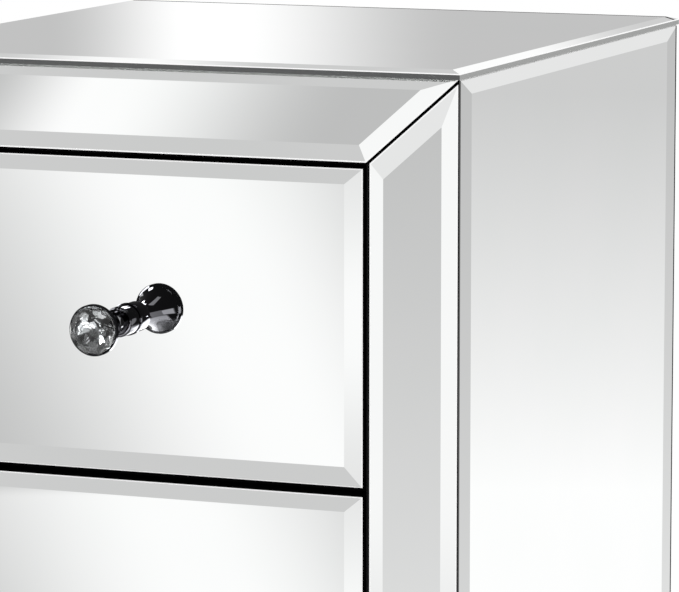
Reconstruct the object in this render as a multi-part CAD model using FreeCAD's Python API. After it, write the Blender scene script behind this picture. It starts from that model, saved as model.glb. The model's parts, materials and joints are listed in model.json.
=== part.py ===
import FreeCAD, Part
import math
import os

# Mirrored end table: a black carcass with bevelled mirror panels, a sloping mirrored front frame
# and three drawers on centre tracks. Millimetres, +Z up, the drawers open towards -Y.
# The origin is the middle of the bounding box, on the floor.

# Overall sizes
width = 376.0                # over the two side mirrors
body_depth = 398.5           # front edge of the top to the back of the back board
foot_height = 12.0
drawer_front_height = 176.5
drawer_gap = 5.2             # between two drawer fronts
reveal = 4.2                 # between a drawer front and a rail of the frame
side_reveal = 3.7            # between a drawer front and a stile of the frame
drawer_names = ["upper", "middle", "lower"]

# Sloping front frame, seen square on
frame_face = 44.0            # from the cabinet's edge to the frame's inner edge
frame_rise = 24.5            # how far the slope comes forward to the drawer fronts

# Mirror glass
glass = 4.0
top_glass = 5.0
bevel_drop = 1.3             # how much thinner the bevel makes the glass at its edge
top_bevel_drop = 1.7
arris = 0.6                  # small chamfer where a bevel meets the edge
tucked_arris = 0.05          # the same where the rail glass goes under the top glass
drawer_top_bevel = 8.6
drawer_bottom_bevel = 11.3
drawer_side_bevel = 10.2
rail_outer_bevel = 7.4
rail_inner_bevel = 9.5
rail_mitre_bevel = 10.2
stile_outer_bevel = 9.4
stile_inner_bevel = 7.2
stile_mitre_bevel = 11.2
side_front_bevel = 14.6
side_rear_bevel = 24.0
side_end_bevel = 8.6
top_bevel = 6.5
mitre_gap = 0.3              # between two frame glasses where they come closest
edge_setback = 0.5           # stile glass stops this far short of the cabinet's edge
rail_overrun = 0.68          # rail glass runs this far past the frame's edge, under the top glass
rail_trim = 0.3              # rail glass stops this far short of the frame's inner edge
stile_trim = 1.2             # and stile glass this far
corner_gap = 1.5             # stile glass to the front edge of the side glass
top_joint = 0.5              # side glass to the underside of the top glass

# Boards
board = 12.0
back_board = 5.0
front_board = 15.0
bearer_height = 20.0
bearer_depth = 22.0
bearer_lap = 7.5             # bearer top above the lower edge of its drawer front
drawer_stop_gap = 1.0        # closed drawer front to the bearer

# Drawer boxes
box_clearance = 4.0          # drawer side to the stile
rear_clearance = 12.0        # closed drawer to the bracket behind it
side_clearance = 12.0        # drawer side to the bearer above it
side_board = 12.0
drawer_bottom = 4.0
groove_depth = 5.0
groove_play = 0.1
groove_end_play = 0.3

# Runners
pad_width = 14.0
pad_length = 16.0
pad_thickness = 2.0
run_clearance = 0.3          # drawer side above its pad
track_width = 26.0
track_height = 9.0
track_sheet = 1.2
track_lip = 6.0              # from the outer face of the track to the edge of its slot
track_setback = 2.0          # front end of the track behind the bearer's front
guide_length = 30.0
guide_rear = 2.0             # guide to the rear end of the drawer
guide_width = 40.0
guide_play = 0.4
guide_plate = 3.0
guide_lift = 2.5             # guide plate above the track
peg_radius = 3.0
peg_spacing = 26.0
peg_play = 0.1
bracket_depth = 14.0
bracket_cheek = 5.0
bracket_base = 10.0
bracket_wall = 2.0           # behind the end of the track
bracket_play = 0.2
bracket_screw_spacing = 16.0

# Feet, screws and dowels
foot_radius = 16.0
foot_inset = 26.0            # foot centre to the edges of the bottom board
foot_recess_radius = 6.0
foot_recess = 6.0
screw_radius = 1.75
screw_head_radius = 3.5
screw_head = 2.0
screw_grip = 8.0             # screw thread in the wood
back_screw_grip = 3.5        # bracket screw in the back board
screw_play = 0.1
dowel_radius = 3.0
dowel_length = 28.0
dowel_shallow = 8.0          # dowel in the face of a board
dowel_play = 0.1
dowel_inset = 40.0           # dowel to the end of the board
back_screw_length = 18.0
back_screw_inset = 60.0      # back screw to the edges of the back board
back_screw_rows = 4
back_screw_columns = 2

# Knob, measured out from the drawer's glass
knob_drop = 1.8              # knob below the middle of its drawer front
stem_length = 44.0
flange_radius = 9.2
flange_length = 1.2
collar_radius = 8.6
collar_length = 11.5
collar_edge = 0.9
neck_radius = 4.6
neck_length = 2.0
cup_radius = 14.4
cup_rim = 1.8
crystal_radius = 14.2        # the flattened ball that the facets touch, across the knob
crystal_height = 9.5         # and along it
crystal_seat = 1.2           # middle of the ball to its flat back
crystal_table = 8.8          # middle of the ball to its flat front
facet_rings = [(24.0, 8), (46.0, 16), (68.0, 16), (90.0, 16)]
knob_screw_radius = 2.0
knob_screw_head_radius = 4.0
knob_screw_head = 2.6
knob_screw_grip = 12.0

# Places worked out from the sizes above
drawer_count = len(drawer_names)
frame_inside = 2 * reveal + drawer_count * drawer_front_height + (drawer_count - 1) * drawer_gap
frame_height = 2 * frame_face + frame_inside
frame_bottom_z = foot_height
frame_top_z = frame_bottom_z + frame_height
frame_middle_z = frame_bottom_z + frame_height / 2
table_height = frame_top_z + top_glass
half_width = width / 2
board_x = half_width - glass
inner_x = board_x - board

knob_projection = stem_length + crystal_seat + crystal_table
overall_depth = knob_projection + frame_rise + body_depth
front_y = -overall_depth / 2 + knob_projection + frame_rise
rear_y = front_y + body_depth
back_inner_y = rear_y - back_board
drawer_face_y = front_y - frame_rise
front_board_y = drawer_face_y + glass
box_front_y = front_board_y + front_board
box_rear_y = back_inner_y - bracket_depth - rear_clearance
bearer_y = box_front_y + drawer_stop_gap
carcass_y = bearer_y + bearer_depth

slope_length = math.hypot(frame_face, frame_rise)
slope_cos = frame_face / slope_length
slope_sin = frame_rise / slope_length
# The square ends of two frame glasses lean together by half the turn between their faces
mitre_turn = math.acos(slope_cos * slope_cos) / 2
mitre_setback = glass * math.tan(mitre_turn) + mitre_gap / 2
opening_inset = frame_face + glass * slope_sin
opening_x = half_width - opening_inset
front_half = half_width - frame_face - side_reveal
box_half = opening_x - box_clearance
box_inner = box_half - side_board
drawer_pitch = drawer_front_height + drawer_gap
side_height = drawer_pitch - bearer_height - pad_thickness - run_clearance - side_clearance

X = FreeCAD.Vector(1, 0, 0)
Y = FreeCAD.Vector(0, 1, 0)
Z = FreeCAD.Vector(0, 0, 1)


def vec(x, y, z):
    return FreeCAD.Vector(x, y, z)


def block(x0, x1, y0, y1, z0, z1):
    """A box from its six limits."""
    return Part.makeBox(x1 - x0, y1 - y0, z1 - z0, vec(x0, y0, z0))


def rod(radius, start, direction, length):
    return Part.makeCylinder(radius, length, start, direction)


def mirrored(shape):
    """The same shape on the other side of the YZ plane."""
    return shape.mirror(vec(0, 0, 0), X)


def extruded(points, direction):
    return Part.Face(Part.makePolygon(points + points[:1])).extrude(direction)


# Mirror panels

def inset(points, distances):
    """Moves each edge of a convex, counter-clockwise outline inwards by its own distance."""
    count = len(points)
    lines = []
    for i in range(count):
        x0, y0 = points[i]
        x1, y1 = points[(i + 1) % count]
        length = math.hypot(x1 - x0, y1 - y0)
        normal = (-(y1 - y0) / length, (x1 - x0) / length)
        lines.append((normal, normal[0] * x0 + normal[1] * y0 + distances[i]))
    corners = []
    for i in range(count):
        (a, b), c = lines[i - 1]
        (d, e), f = lines[i]
        det = a * e - b * d
        corners.append(((c * e - b * f) / det, (a * f - c * d) / det))
    return corners


def mirror_panel(points, thickness, drop, bevels, arrises):
    """A flat panel whose front is the plane z = 0, with a bevel along each edge and an arris below it."""
    rings = [
        [vec(x, y, -thickness) for x, y in points],
        [vec(x, y, -drop - arris) for x, y in points],
        [vec(x, y, -drop) for x, y in inset(points, arrises)],
        [vec(x, y, 0) for x, y in inset(points, bevels)],
    ]
    faces = [Part.Face(Part.makePolygon(ring + ring[:1])) for ring in (rings[0], rings[-1])]
    for low, high in zip(rings, rings[1:]):
        for i in range(len(points)):
            j = (i + 1) % len(points)
            faces.append(Part.Face(Part.makePolygon([low[i], low[j], high[j], high[i], low[i]])))
    solid = Part.Solid(Part.Shell(faces))
    if solid.Volume < 0:
        solid.reverse()
    return solid


def placed(shape, origin, across, up):
    """Turns a panel so that its x runs across, its y runs up and its front faces across x up."""
    out = across.cross(up)
    matrix = FreeCAD.Matrix(
        across.x, up.x, out.x, origin.x,
        across.y, up.y, out.y, origin.y,
        across.z, up.z, out.z, origin.z,
        0, 0, 0, 1)
    moved = shape.copy()
    moved.Placement = FreeCAD.Placement(matrix)
    return moved


def rectangle(x0, x1, y0, y1):
    return [(x0, y0), (x1, y0), (x1, y1), (x0, y1)]


def top_mirror():
    outline = rectangle(-half_width, half_width, front_y, rear_y)
    panel = mirror_panel(outline, top_glass, top_bevel_drop, [top_bevel] * 4, [arris] * 4)
    return placed(panel, vec(0, 0, table_height), X, Y)


def side_mirror():
    """The right side panel, behind the outer edge of the stile glass."""
    stile_back_y = front_y + glass * slope_cos - edge_setback * slope_sin
    outline = rectangle(stile_back_y + corner_gap, rear_y, frame_bottom_z, frame_top_z - top_joint)
    bevels = [side_end_bevel, side_rear_bevel, side_end_bevel, side_front_bevel]
    panel = mirror_panel(outline, glass, bevel_drop, bevels, [arris] * 4)
    return placed(panel, vec(half_width, 0, 0), Y, Z)


# Front frame: each side is described by the direction from the middle of the frame to that side

def frame_mirror(outward, reach, length, inner_trim, outer_trim, bevels, outer_arris):
    """Sloping glass from the frame's inner edge back to the cabinet's edge, mitred at both ends."""
    inner_half = length / 2 - frame_face
    outer_half = length / 2
    trapezoid = [(-inner_half, 0), (inner_half, 0), (outer_half, slope_length), (-outer_half, slope_length)]
    outline = inset(trapezoid, [inner_trim, mitre_setback, outer_trim, mitre_setback])
    panel = mirror_panel(outline, glass, bevel_drop, bevels, [arris, arris, outer_arris, arris])
    origin = vec(0, drawer_face_y, frame_middle_z) + outward * (reach - frame_face)
    return placed(panel, origin, Y.cross(outward), outward * slope_cos + Y * slope_sin)


def rail_mirror(outward):
    bevels = [rail_inner_bevel, rail_mitre_bevel, rail_outer_bevel, rail_mitre_bevel]
    return frame_mirror(outward, frame_height / 2, width, rail_trim, -rail_overrun, bevels, tucked_arris)


def stile_mirror(outward):
    bevels = [stile_inner_bevel, stile_mitre_bevel, stile_outer_bevel, stile_mitre_bevel]
    return frame_mirror(outward, half_width, frame_height, stile_trim, edge_setback, bevels, arris)


def moulding(outward, reach, length, section):
    """A wooden moulding behind the sloping glass. Its section is (inset, distance behind the front)."""
    along = Y.cross(outward)
    middle = vec(0, front_y, frame_middle_z)

    def point(run, depth_in, behind):
        return middle + along * run + outward * (reach - depth_in) + Y * behind

    bar = extruded([point(-length / 2, p, q) for p, q in section], along * length)
    ends = [(glass, 0), (glass, glass), (opening_inset, opening_inset)]
    right = [(length / 2 - cut, p) for cut, p in ends]
    left = [(-run, p) for run, p in reversed(right)]
    mitre = extruded([point(run, p, -frame_rise) for run, p in right + left],
                     Y * (frame_rise + carcass_y - front_y))
    return bar.common(mitre).Solids[0]


def moulding_sections():
    """Sections of the rails, which reach the top board, and of the stiles, which reach the side boards."""
    outer = (glass * slope_sin, glass * slope_cos)
    inner = (opening_inset, glass * slope_cos - frame_rise)
    back = carcass_y - front_y
    at_board = outer[1] - (glass - outer[0]) * frame_rise / frame_face
    at_top = outer[1] + outer[0] * frame_rise / frame_face
    rail = [(0, at_top), inner, (opening_inset, back), (0, back)]
    stile = [(glass, at_board), inner, (opening_inset, back), (glass, back)]
    return rail, stile


# Carcass

def dowel_places():
    """(start, direction) of each dowel: from the face of a board into the end of its neighbour."""
    places = []
    for y in (carcass_y + dowel_inset, back_inner_y - dowel_inset):
        for side in (-1, 1):
            top = vec(side * (board_x - board / 2), y, frame_top_z - board + dowel_shallow)
            low = vec(side * (inner_x + dowel_shallow), y, frame_bottom_z + board / 2)
            places.append((top, -Z))
            places.append((low, -X * side))
    return places


def dowels(radius, play):
    return [rod(radius, start - direction * play, direction, dowel_length + 2 * play)
            for start, direction in dowel_places()]


def back_screw_places():
    """Middles of the screws that hold the back board to the edges of the four carcass boards."""
    places = []
    low = frame_bottom_z + back_screw_inset
    step = (frame_height - 2 * back_screw_inset) / (back_screw_rows - 1)
    for row in range(back_screw_rows):
        for side in (-1, 1):
            places.append((side * (board_x - board / 2), low + row * step))
    span = 2 * (board_x - back_screw_inset)
    for column in range(back_screw_columns):
        x = -span / 2 + column * span / (back_screw_columns - 1)
        places.append((x, frame_bottom_z + board / 2))
        places.append((x, frame_top_z - board / 2))
    return places


def back_screw(x, z, play):
    """A countersunk screw, flush with the back board, or with some play the hole for it."""
    head = Part.makeCone(screw_head_radius + play, screw_radius + play, screw_head, vec(x, rear_y, z), -Y)
    shank = rod(screw_radius + play, vec(x, rear_y, z), -Y, back_screw_length + play)
    return head.fuse(shank).removeSplitter()


def back_screws(play):
    return [back_screw(x, z, play) for x, z in back_screw_places()]


def foot_places():
    places = []
    for y in (carcass_y + foot_inset, back_inner_y - foot_inset):
        for side in (-1, 1):
            places.append((side * (inner_x - foot_inset), y))
    return places


def foot(x, y):
    pad = rod(foot_radius, vec(x, y, 0), Z, foot_height)
    recess = rod(foot_recess_radius, vec(x, y, 0), Z, foot_recess)
    hole = rod(screw_radius + screw_play, vec(x, y, 0), Z, foot_height)
    return pad.cut(recess).cut(hole)


def pan_screw(start, direction, length, play):
    """A pan head screw whose head sits on the face at start, or with some play the hole for it."""
    shank = rod(screw_radius + play, start, direction, length + play)
    if play:
        return shank
    head = rod(screw_head_radius, start - direction * screw_head, direction, screw_head)
    return shank.fuse(head).removeSplitter()


def foot_screws(play):
    length = foot_height - foot_recess + screw_grip
    return [pan_screw(vec(x, y, foot_recess), Z, length, play) for x, y in foot_places()]


def cut_all(shape, tools):
    for tool in tools:
        shape = shape.cut(tool)
    return shape


def carcass_parts():
    holes = dowels(dowel_radius + dowel_play, dowel_play) + back_screws(screw_play)
    side = block(inner_x, board_x, carcass_y, back_inner_y, frame_bottom_z, frame_top_z - board)
    top = block(-board_x, board_x, carcass_y, back_inner_y, frame_top_z - board, frame_top_z)
    bottom = block(-inner_x, inner_x, carcass_y, back_inner_y, frame_bottom_z, frame_bottom_z + board)
    back = block(-board_x, board_x, back_inner_y, rear_y, frame_bottom_z, frame_top_z)
    bracket_holes = []
    for drawer in range(drawer_count):
        bracket_holes += bracket_screws(drawer, screw_play)
    return {
        "right_side_board": cut_all(side, holes),
        "left_side_board": cut_all(mirrored(side), holes),
        "sub_top_board": cut_all(top, holes),
        "bottom_board": cut_all(bottom, holes + foot_screws(screw_play)),
        "back_board": cut_all(back, back_screws(screw_play) + bracket_holes),
        "carcass_dowels": Part.makeCompound(dowels(dowel_radius, 0)),
        "back_board_screws": Part.makeCompound(back_screws(0)),
        "glide_feet": Part.makeCompound([foot(x, y) for x, y in foot_places()]),
        "foot_screws": Part.makeCompound(foot_screws(0)),
    }


def frame_parts():
    rail, stile = moulding_sections()
    side = side_mirror()
    return {
        "top_rail_moulding": moulding(Z, frame_height / 2, width, rail),
        "bottom_rail_moulding": moulding(-Z, frame_height / 2, width, rail),
        "right_stile_moulding": moulding(X, half_width, frame_height, stile),
        "left_stile_moulding": moulding(-X, half_width, frame_height, stile),
        "top_rail_mirror": rail_mirror(Z),
        "bottom_rail_mirror": rail_mirror(-Z),
        "right_stile_mirror": stile_mirror(X),
        "left_stile_mirror": stile_mirror(-X),
        "top_mirror": top_mirror(),
        "right_side_mirror": side,
        "left_side_mirror": mirrored(side),
    }


# Runners: the drawers are counted from the top

def front_low_z(drawer):
    """Lower edge of a drawer's front."""
    steps = drawer_count - 1 - drawer
    return frame_bottom_z + frame_face + reveal + steps * drawer_pitch


def bearer_top_z(drawer):
    return front_low_z(drawer) + bearer_lap


def track_screw_start(drawer):
    return vec(0, bearer_y + bearer_depth / 2, bearer_top_z(drawer) + track_sheet)


def bearer_rail(drawer):
    """Crosses the opening behind the gap under its drawer. The lowest one lies on the bottom moulding."""
    top = bearer_top_z(drawer)
    low = max(top - bearer_height, frame_bottom_z + opening_inset)
    rail = block(-opening_x, opening_x, bearer_y, bearer_y + bearer_depth, low, top)
    return rail.cut(pan_screw(track_screw_start(drawer), -Z, track_sheet + screw_grip, screw_play))


def track(drawer):
    """A channel with turned-in lips, open upwards along its middle."""
    z = bearer_top_z(drawer)
    half = track_width / 2
    start = bearer_y + track_setback
    end = back_inner_y - bracket_wall
    outer = block(-half, half, start, end, z, z + track_height)
    hollow = block(track_sheet - half, half - track_sheet, start, end,
                   z + track_sheet, z + track_height - track_sheet)
    slot = block(track_lip - half, half - track_lip, start, end, z + track_sheet, z + track_height)
    hole = pan_screw(track_screw_start(drawer), -Z, track_sheet, screw_play)
    return outer.cut(hollow).cut(slot).cut(hole)


def bracket_screws(drawer, play):
    z = bearer_top_z(drawer) - bracket_base / 2
    length = bracket_depth + back_screw_grip
    return [pan_screw(vec(side * bracket_screw_spacing / 2, back_inner_y - bracket_depth, z), Y, length, play)
            for side in (-1, 1)]


def bracket(drawer):
    """Cradle on the back board that holds the rear end of a track."""
    z = bearer_top_z(drawer)
    half = track_width / 2 + bracket_play
    outer = block(-half - bracket_cheek, half + bracket_cheek, back_inner_y - bracket_depth, back_inner_y,
                  z - bracket_base, z + track_height)
    seat = block(-half, half, back_inner_y - bracket_depth, back_inner_y - bracket_wall, z, z + track_height)
    return cut_all(outer.cut(seat), bracket_screws(drawer, screw_play))


def pads(drawer):
    x = box_half - side_board / 2
    y = bearer_y + bearer_depth / 2
    z = bearer_top_z(drawer)
    return [block(side * x - pad_width / 2, side * x + pad_width / 2,
                  y - pad_length / 2, y + pad_length / 2, z, z + pad_thickness) for side in (-1, 1)]


def track_screws(drawer):
    front = pan_screw(track_screw_start(drawer), -Z, track_sheet + screw_grip, 0)
    return [front] + bracket_screws(drawer, 0)


def runner_parts():
    parts = {}
    brackets = []
    screws = []
    glides = []
    for drawer, name in enumerate(drawer_names):
        parts[name + "_bearer_rail"] = bearer_rail(drawer)
        parts[name + "_track"] = track(drawer)
        brackets.append(bracket(drawer))
        screws += track_screws(drawer)
        glides += pads(drawer)
    parts["track_brackets"] = Part.makeCompound(brackets)
    parts["track_screws"] = Part.makeCompound(screws)
    parts["glide_pads"] = Part.makeCompound(glides)
    return parts


# Knob, built on the axis of -Y with the drawer's glass at y = 0

def knob_stem():
    """Round base, collar, neck and a trumpet that carries the crystal."""
    flare_start = collar_length + neck_length
    flare_end = stem_length - cup_rim
    run = flare_end - flare_start
    rise = cup_radius - neck_radius
    flare_radius = (run * run + rise * rise) / (2 * rise)
    turn = math.acos(1 - rise / flare_radius) / 2
    middle = (flare_start + flare_radius * math.sin(turn),
              neck_radius + flare_radius * (1 - math.cos(turn)))

    def point(along, radius):
        return vec(radius, -along, 0)

    before = [point(0, 0), point(0, flange_radius), point(flange_length, flange_radius),
              point(flange_length, collar_radius), point(collar_length - collar_edge, collar_radius),
              point(collar_length, collar_radius - collar_edge), point(collar_length, neck_radius),
              point(flare_start, neck_radius)]
    after = [point(flare_end, cup_radius), point(stem_length, cup_radius), point(stem_length, 0), point(0, 0)]
    edges = [Part.makeLine(a, b) for a, b in zip(before, before[1:])]
    edges.append(Part.Arc(before[-1], point(*middle), after[0]).toShape())
    edges += [Part.makeLine(a, b) for a, b in zip(after, after[1:])]
    solid = Part.Face(Part.Wire(edges)).revolve(vec(0, 0, 0), Y, 360)
    hole = rod(knob_screw_radius + screw_play, vec(0, 0, 0), -Y, knob_screw_grip + screw_play)
    return solid.cut(hole)


def knob_crystal():
    """A flattened ball, cut flat in front and at the back, with rings of facets between."""
    reach = 4 * crystal_radius
    middle = vec(0, -stem_length - crystal_seat, 0)
    planes = [(-Y, crystal_table), (Y, crystal_seat)]
    for ring, (polar, count) in enumerate(facet_rings):
        lean = math.radians(polar)
        distance = math.hypot(crystal_radius * math.sin(lean), crystal_height * math.cos(lean))
        for i in range(count):
            turn = 2 * math.pi * (i + (ring % 2) / 2) / count
            around = X * math.cos(turn) + Z * math.sin(turn)
            planes.append((around * math.sin(lean) - Y * math.cos(lean), distance))
    solid = block(-reach / 2, reach / 2, -reach / 2, reach / 2, -reach / 2, reach / 2)
    for normal, distance in planes:
        waste = block(-reach, reach, -reach, reach, 0, reach)
        waste.Placement = FreeCAD.Placement(normal * distance, FreeCAD.Rotation(Z, normal))
        solid = solid.cut(waste)
    return solid.translated(middle)


def knob_screw(play):
    """From the back of the drawer front, through board and glass, into the stem."""
    length = front_board + glass + knob_screw_grip
    start = vec(0, front_board + glass, 0)
    shank = rod(knob_screw_radius + play, start, -Y, length)
    if play:
        return shank
    head = rod(knob_screw_head_radius, start, Y, knob_screw_head)
    return shank.fuse(head).removeSplitter()


# Drawers

def track_guide(drawer):
    """Foot that runs in the track, with a plate and two pegs that push into the drawer bottom."""
    z = bearer_top_z(drawer)
    low = z + track_sheet + guide_play
    foot_top = z + track_height - track_sheet - guide_play
    plate_top = drawer_bottom_z(drawer)
    foot_half = track_width / 2 - track_sheet - guide_play
    neck_half = track_width / 2 - track_lip - guide_play
    y0 = box_rear_y - guide_rear - guide_length
    y1 = box_rear_y - guide_rear
    solid = block(-foot_half, foot_half, y0, y1, low, foot_top)
    solid = solid.fuse(block(-neck_half, neck_half, y0, y1, foot_top, plate_top))
    solid = solid.fuse(block(-guide_width / 2, guide_width / 2, y0, y1, plate_top - guide_plate, plate_top))
    for peg in guide_pegs(drawer, 0):
        solid = solid.fuse(peg)
    return solid.removeSplitter()


def guide_pegs(drawer, play):
    y = box_rear_y - guide_rear - guide_length / 2
    return [rod(peg_radius + play, vec(side * peg_spacing / 2, y, drawer_bottom_z(drawer)), Z, drawer_bottom)
            for side in (-1, 1)]


def side_low_z(drawer):
    return bearer_top_z(drawer) + pad_thickness + run_clearance


def drawer_bottom_z(drawer):
    return bearer_top_z(drawer) + track_height + guide_lift + guide_plate


def drawer_parts(drawer, stem, crystal):
    low = front_low_z(drawer)
    side_low = side_low_z(drawer)
    side_top = side_low + side_height
    floor_low = drawer_bottom_z(drawer)
    floor_top = floor_low + drawer_bottom
    knob_place = vec(0, drawer_face_y, low + drawer_front_height / 2 - knob_drop)
    knob_hole = knob_screw(screw_play).translated(knob_place)

    groove_half = box_inner + groove_depth
    groove = block(-groove_half, groove_half, box_front_y - groove_depth, box_rear_y,
                   floor_low - groove_play, floor_top + groove_play)
    floor_half = groove_half - groove_end_play
    floor_front = box_front_y - groove_depth + groove_end_play
    floor = block(-floor_half, floor_half, floor_front, box_rear_y, floor_low, floor_top)
    side = block(box_inner, box_half, box_front_y, box_rear_y, side_low, side_top).cut(groove)
    front = block(-front_half, front_half, front_board_y, box_front_y, low, low + drawer_front_height)
    outline = rectangle(-front_half, front_half, low, low + drawer_front_height)
    bevels = [drawer_bottom_bevel, drawer_side_bevel, drawer_top_bevel, drawer_side_bevel]
    mirror = mirror_panel(outline, glass, bevel_drop, bevels, [arris] * 4)
    mirror = placed(mirror, vec(0, drawer_face_y, 0), X, Z)
    return {
        "front_board": front.cut(groove).cut(knob_hole),
        "front_mirror": mirror.cut(knob_hole),
        "right_side": side,
        "left_side": mirrored(side),
        "drawer_back": block(-box_inner, box_inner, box_rear_y - side_board, box_rear_y, floor_top, side_top),
        "drawer_bottom": cut_all(floor, guide_pegs(drawer, peg_play)),
        "track_guide": track_guide(drawer),
        "knob_stem": stem.translated(knob_place),
        "knob_crystal": crystal.translated(knob_place),
        "knob_screw": knob_screw(0).translated(knob_place),
    }


def all_parts():
    parts = {}
    parts.update(carcass_parts())
    parts.update(frame_parts())
    parts.update(runner_parts())
    stem = knob_stem()
    crystal = knob_crystal()
    for drawer, name in enumerate(drawer_names):
        for piece, shape in drawer_parts(drawer, stem, crystal).items():
            parts[name + "_" + piece] = shape
    return parts


os.makedirs("parts", exist_ok=True)
for node, shape in all_parts().items():
    shape.exportStep("parts/" + node + ".step")
    state = "valid" if shape.isValid() else "NOT VALID"
    print(node, len(shape.Solids), state, round(shape.Volume / 1000, 2), "cm3")
print("height", table_height, "depth", overall_depth, "knob", knob_projection)
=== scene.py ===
# %% [markdown]
# # A mirrored end table
# The table is a black carcass faced with bevelled mirror glass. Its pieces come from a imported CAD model, at
# their real size and place, and this lesson gives them their finishes, their light and their camera.
# Almost everything a mirror shows is its surroundings, so the studio is as much work here as the materials.

# %% Load the pieces
import json
import math

import bpy
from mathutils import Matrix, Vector


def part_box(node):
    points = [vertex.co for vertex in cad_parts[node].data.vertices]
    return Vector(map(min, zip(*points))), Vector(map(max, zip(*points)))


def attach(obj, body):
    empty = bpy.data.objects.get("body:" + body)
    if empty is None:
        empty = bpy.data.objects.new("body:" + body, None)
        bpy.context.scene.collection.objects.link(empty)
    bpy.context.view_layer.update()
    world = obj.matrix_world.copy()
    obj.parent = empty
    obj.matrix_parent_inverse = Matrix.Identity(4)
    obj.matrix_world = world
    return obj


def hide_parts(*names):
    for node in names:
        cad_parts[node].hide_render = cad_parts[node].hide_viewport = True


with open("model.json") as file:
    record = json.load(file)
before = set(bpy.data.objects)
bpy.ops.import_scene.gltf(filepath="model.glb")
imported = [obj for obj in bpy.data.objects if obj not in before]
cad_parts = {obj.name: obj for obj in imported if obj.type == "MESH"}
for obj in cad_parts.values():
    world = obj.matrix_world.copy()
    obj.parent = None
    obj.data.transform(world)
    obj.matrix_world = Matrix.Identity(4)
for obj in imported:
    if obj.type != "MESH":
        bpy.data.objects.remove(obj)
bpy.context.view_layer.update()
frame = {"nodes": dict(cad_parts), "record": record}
nodes = frame["nodes"]
DRAWERS = ["upper", "middle", "lower"]
MM = 0.001

# %% [markdown]
# ## Small helpers
# Colours are written as the hex values that a screen shows, and Blender's shaders work in linear light, so
# one function converts them. A second one adds a shader node, sets its options and fills its inputs.

# %% Helpers
def linear(hex_colour):
    """sRGB hex, such as "#BFBFBF", as a linear RGBA colour."""
    channels = [int(hex_colour[i:i + 2], 16) / 255 for i in (1, 3, 5)]
    rgb = [c / 12.92 if c <= 0.04045 else ((c + 0.055) / 1.055) ** 2.4 for c in channels]
    return (*rgb, 1.0)


def add_node(tree, kind, inputs=(), **settings):
    """Adds a node, sets its options, and gives each input a value or a link."""
    node = tree.nodes.new(kind)
    for name, value in settings.items():
        setattr(node, name, value)
    for key, value in dict(inputs).items():
        if isinstance(value, bpy.types.NodeSocket):
            tree.links.new(value, node.inputs[key])
        else:
            node.inputs[key].default_value = value
    return node


def new_material(name):
    """An empty node material and its tree."""
    material = bpy.data.materials.new(name)
    material.use_nodes = True
    material.node_tree.nodes.clear()
    return material, material.node_tree


def finish_material(tree, shader):
    add_node(tree, "ShaderNodeOutputMaterial", {"Surface": shader.outputs[0]})


# %% [markdown]
# ## The camera
# The picture is a close view of the upper right part of the table, from the front right and a little above.
# Its edges nearly keep their direction, so the lens is long. Place, turn and lens were fitted to the straight
# edges of the glass, and the picture is 679 by 592 pixels.

# %% Camera
IMAGE_WIDTH = 679
FOCAL_PIXELS = 4519
SENSOR_WIDTH = 36
FARTHEST_SEEN = 50                     # metres
CAMERA_YAW = math.radians(21.606)      # the view turns this far to the left of straight back
CAMERA_PITCH = math.radians(8.166)     # and this far down
CAMERA_FROM_CORNER = Vector((0.8407, -2.3002, 0.2278))    # from the top's front right corner, in metres
top_low, top_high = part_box("top_mirror")

camera_data = bpy.data.cameras.new("camera")
camera_data.sensor_width = SENSOR_WIDTH
camera_data.lens = FOCAL_PIXELS * SENSOR_WIDTH / IMAGE_WIDTH
camera_data.clip_end = FARTHEST_SEEN
camera = bpy.data.objects.new("camera", camera_data)
bpy.context.scene.collection.objects.link(camera)
camera.location = Vector((top_high.x, top_low.y, top_high.z)) + CAMERA_FROM_CORNER
camera.rotation_euler = (math.pi / 2 - CAMERA_PITCH, 0, CAMERA_YAW)
bpy.context.scene.camera = camera
bpy.context.scene.view_settings.view_transform = "Standard"
print("camera at", [round(c, 3) for c in camera.location], "with a lens of", round(camera_data.lens, 1), "mm")

# %% [markdown]
# ## The studio that the mirrors reflect
# A mirror photographed in an empty white room is a flat white shape. Photographers hang soft grey and white
# cards around it instead, so each face catches its own slow gradient. Here the cards are drawn on the sky.
# Each one has a range of azimuth and elevation in degrees, soft edges and a grey. Azimuth 0 is in front of
# the table and 90 to its right. A lamp for each card would work too, but cards are easier to aim.

# %% Sky directions
world = bpy.data.worlds.new("studio")
bpy.context.scene.world = world
world.use_nodes = True
sky = world.node_tree
sky.nodes.clear()
looking = add_node(sky, "ShaderNodeTexCoord").outputs["Generated"]
direction = add_node(sky, "ShaderNodeSeparateXYZ", {0: looking})
front = add_node(sky, "ShaderNodeMath", {0: direction.outputs["Y"], 1: -1.0}, operation="MULTIPLY")
turn = add_node(sky, "ShaderNodeMath", {0: direction.outputs["X"], 1: front.outputs[0]}, operation="ARCTAN2")
climb = add_node(sky, "ShaderNodeMath", {0: direction.outputs["Z"]}, operation="ARCSINE")
azimuth = add_node(sky, "ShaderNodeMath", {0: turn.outputs[0]}, operation="DEGREES").outputs[0]
elevation = add_node(sky, "ShaderNodeMath", {0: climb.outputs[0]}, operation="DEGREES").outputs[0]


def bare_sky(grey):
    value = add_node(sky, "ShaderNodeValue")
    value.outputs[0].default_value = grey
    return value.outputs[0]


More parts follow.
